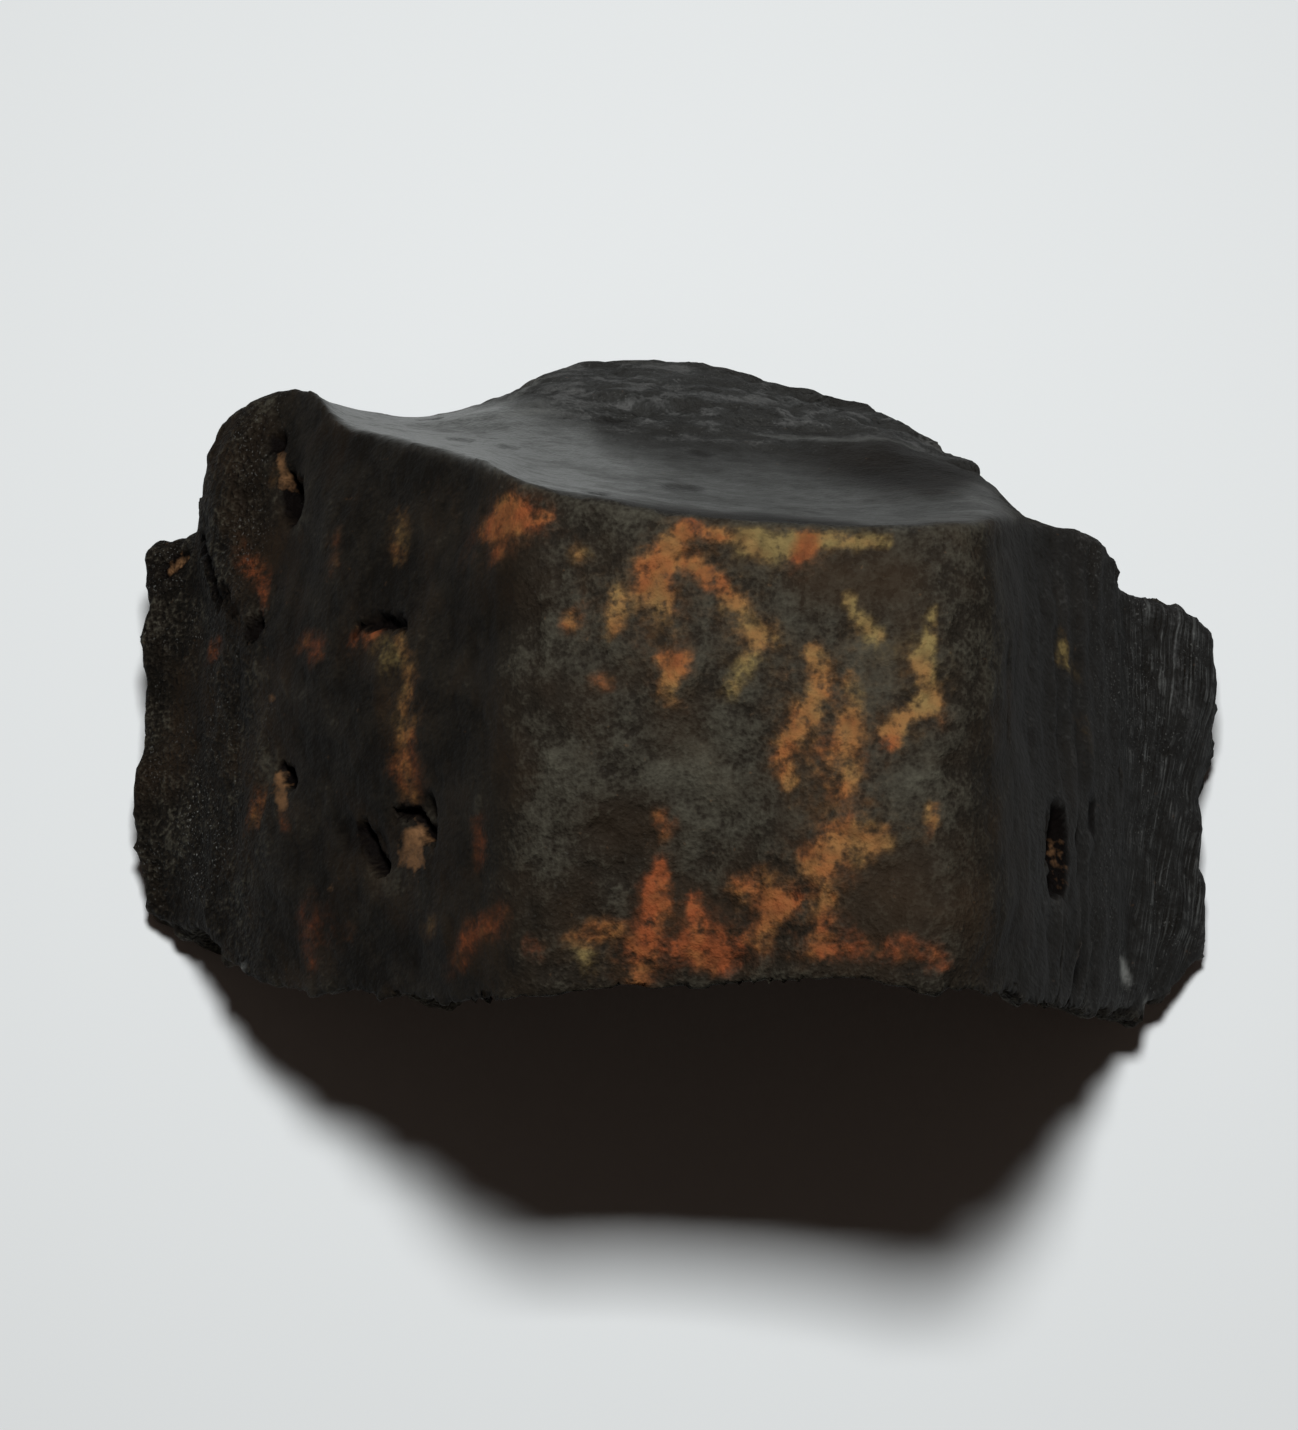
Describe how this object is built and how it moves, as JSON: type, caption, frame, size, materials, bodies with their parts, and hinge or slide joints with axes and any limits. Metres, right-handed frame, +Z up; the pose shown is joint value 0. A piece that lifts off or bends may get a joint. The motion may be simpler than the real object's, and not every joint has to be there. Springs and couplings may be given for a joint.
{
  "type": "hematite iron ore",
  "caption": "Broken lump of hematite iron ore: blocky, with a stained top, a hollow smooth break, a rough hump, fibrous flank and small pits.",
  "frame": {"origin": "middle of the box's underside, on the plane that the lump rests on", "axes": "+X along the lump from the thin left slab to the fibrous flank, +Y from the broken front to the hump, +Z up"},
  "size_m": [0.062, 0.0446, 0.0462],
  "materials": {
    "hematite": "semi-metallic, rough broken"
  },
  "bodies": {
    "root": {"ore_lump": "hematite"}
  },
  "joints": []
}
